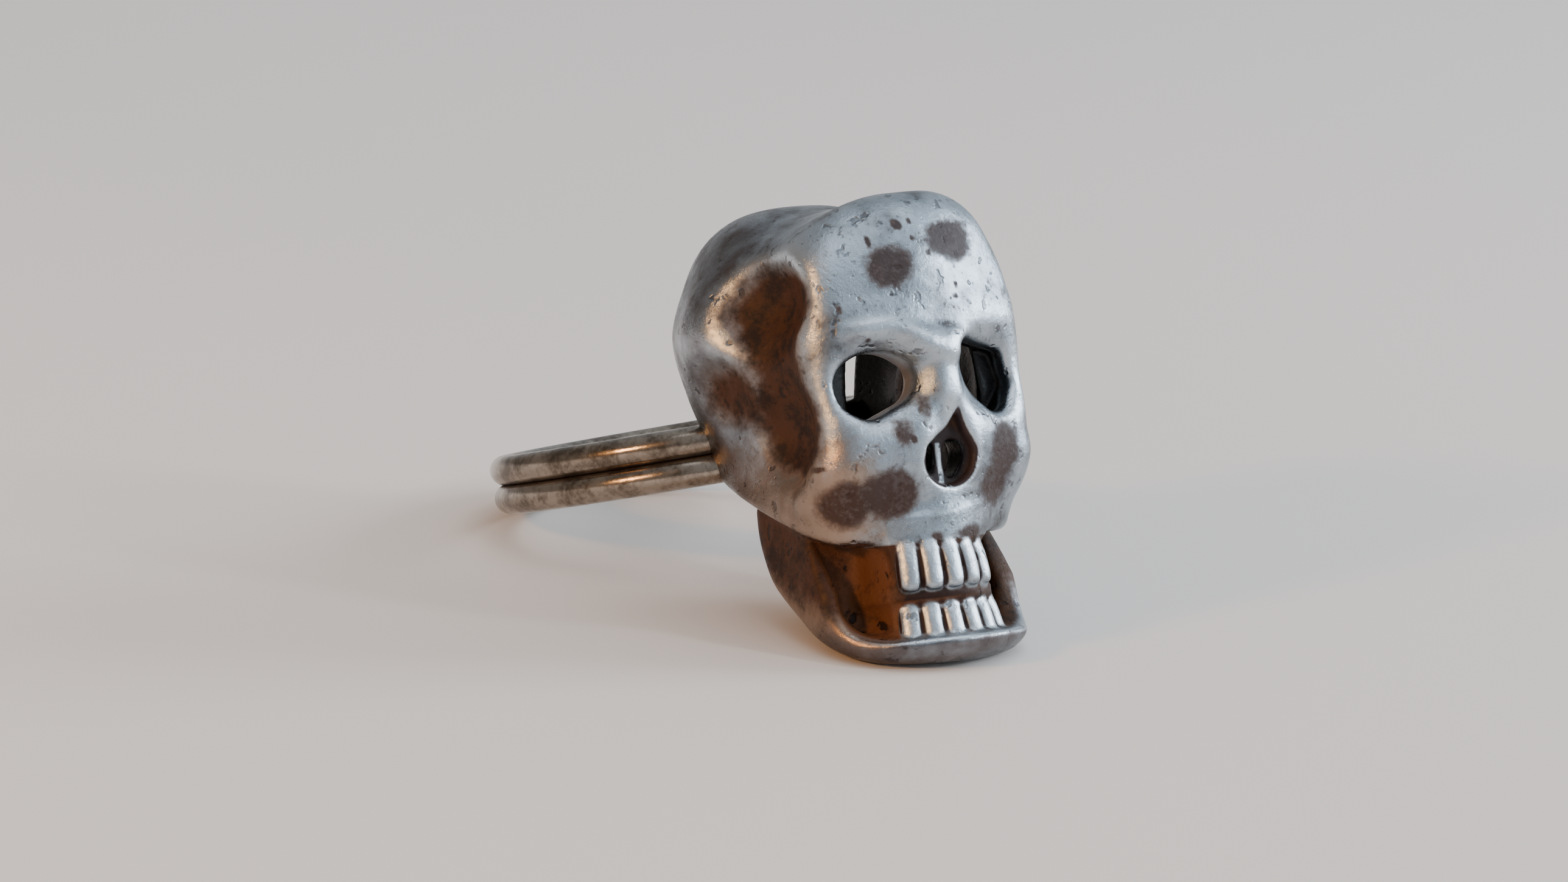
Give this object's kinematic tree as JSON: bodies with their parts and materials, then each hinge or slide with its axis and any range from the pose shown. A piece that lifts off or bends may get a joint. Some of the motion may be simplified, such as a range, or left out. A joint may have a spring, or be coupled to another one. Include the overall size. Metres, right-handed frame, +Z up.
{
  "type": "skull ring",
  "caption": "Finger ring of two round wires with a hollow cast skull soldered on the front, pierced eyes and nose, and a wide open mouth with bared teeth.",
  "frame": {"origin": "on the surface that the ring lies on, under the middle of its bounding box", "axes": "+Z up as it lies on its chin and the back of its band, the face towards -Y, +X to the viewer's right when facing it"},
  "size_m": [0.0204, 0.0338, 0.0207],
  "materials": {
    "silver": "satin, worn and tarnished sterling silver"
  },
  "bodies": {
    "root": {"skull_ring": "silver"}
  },
  "joints": []
}
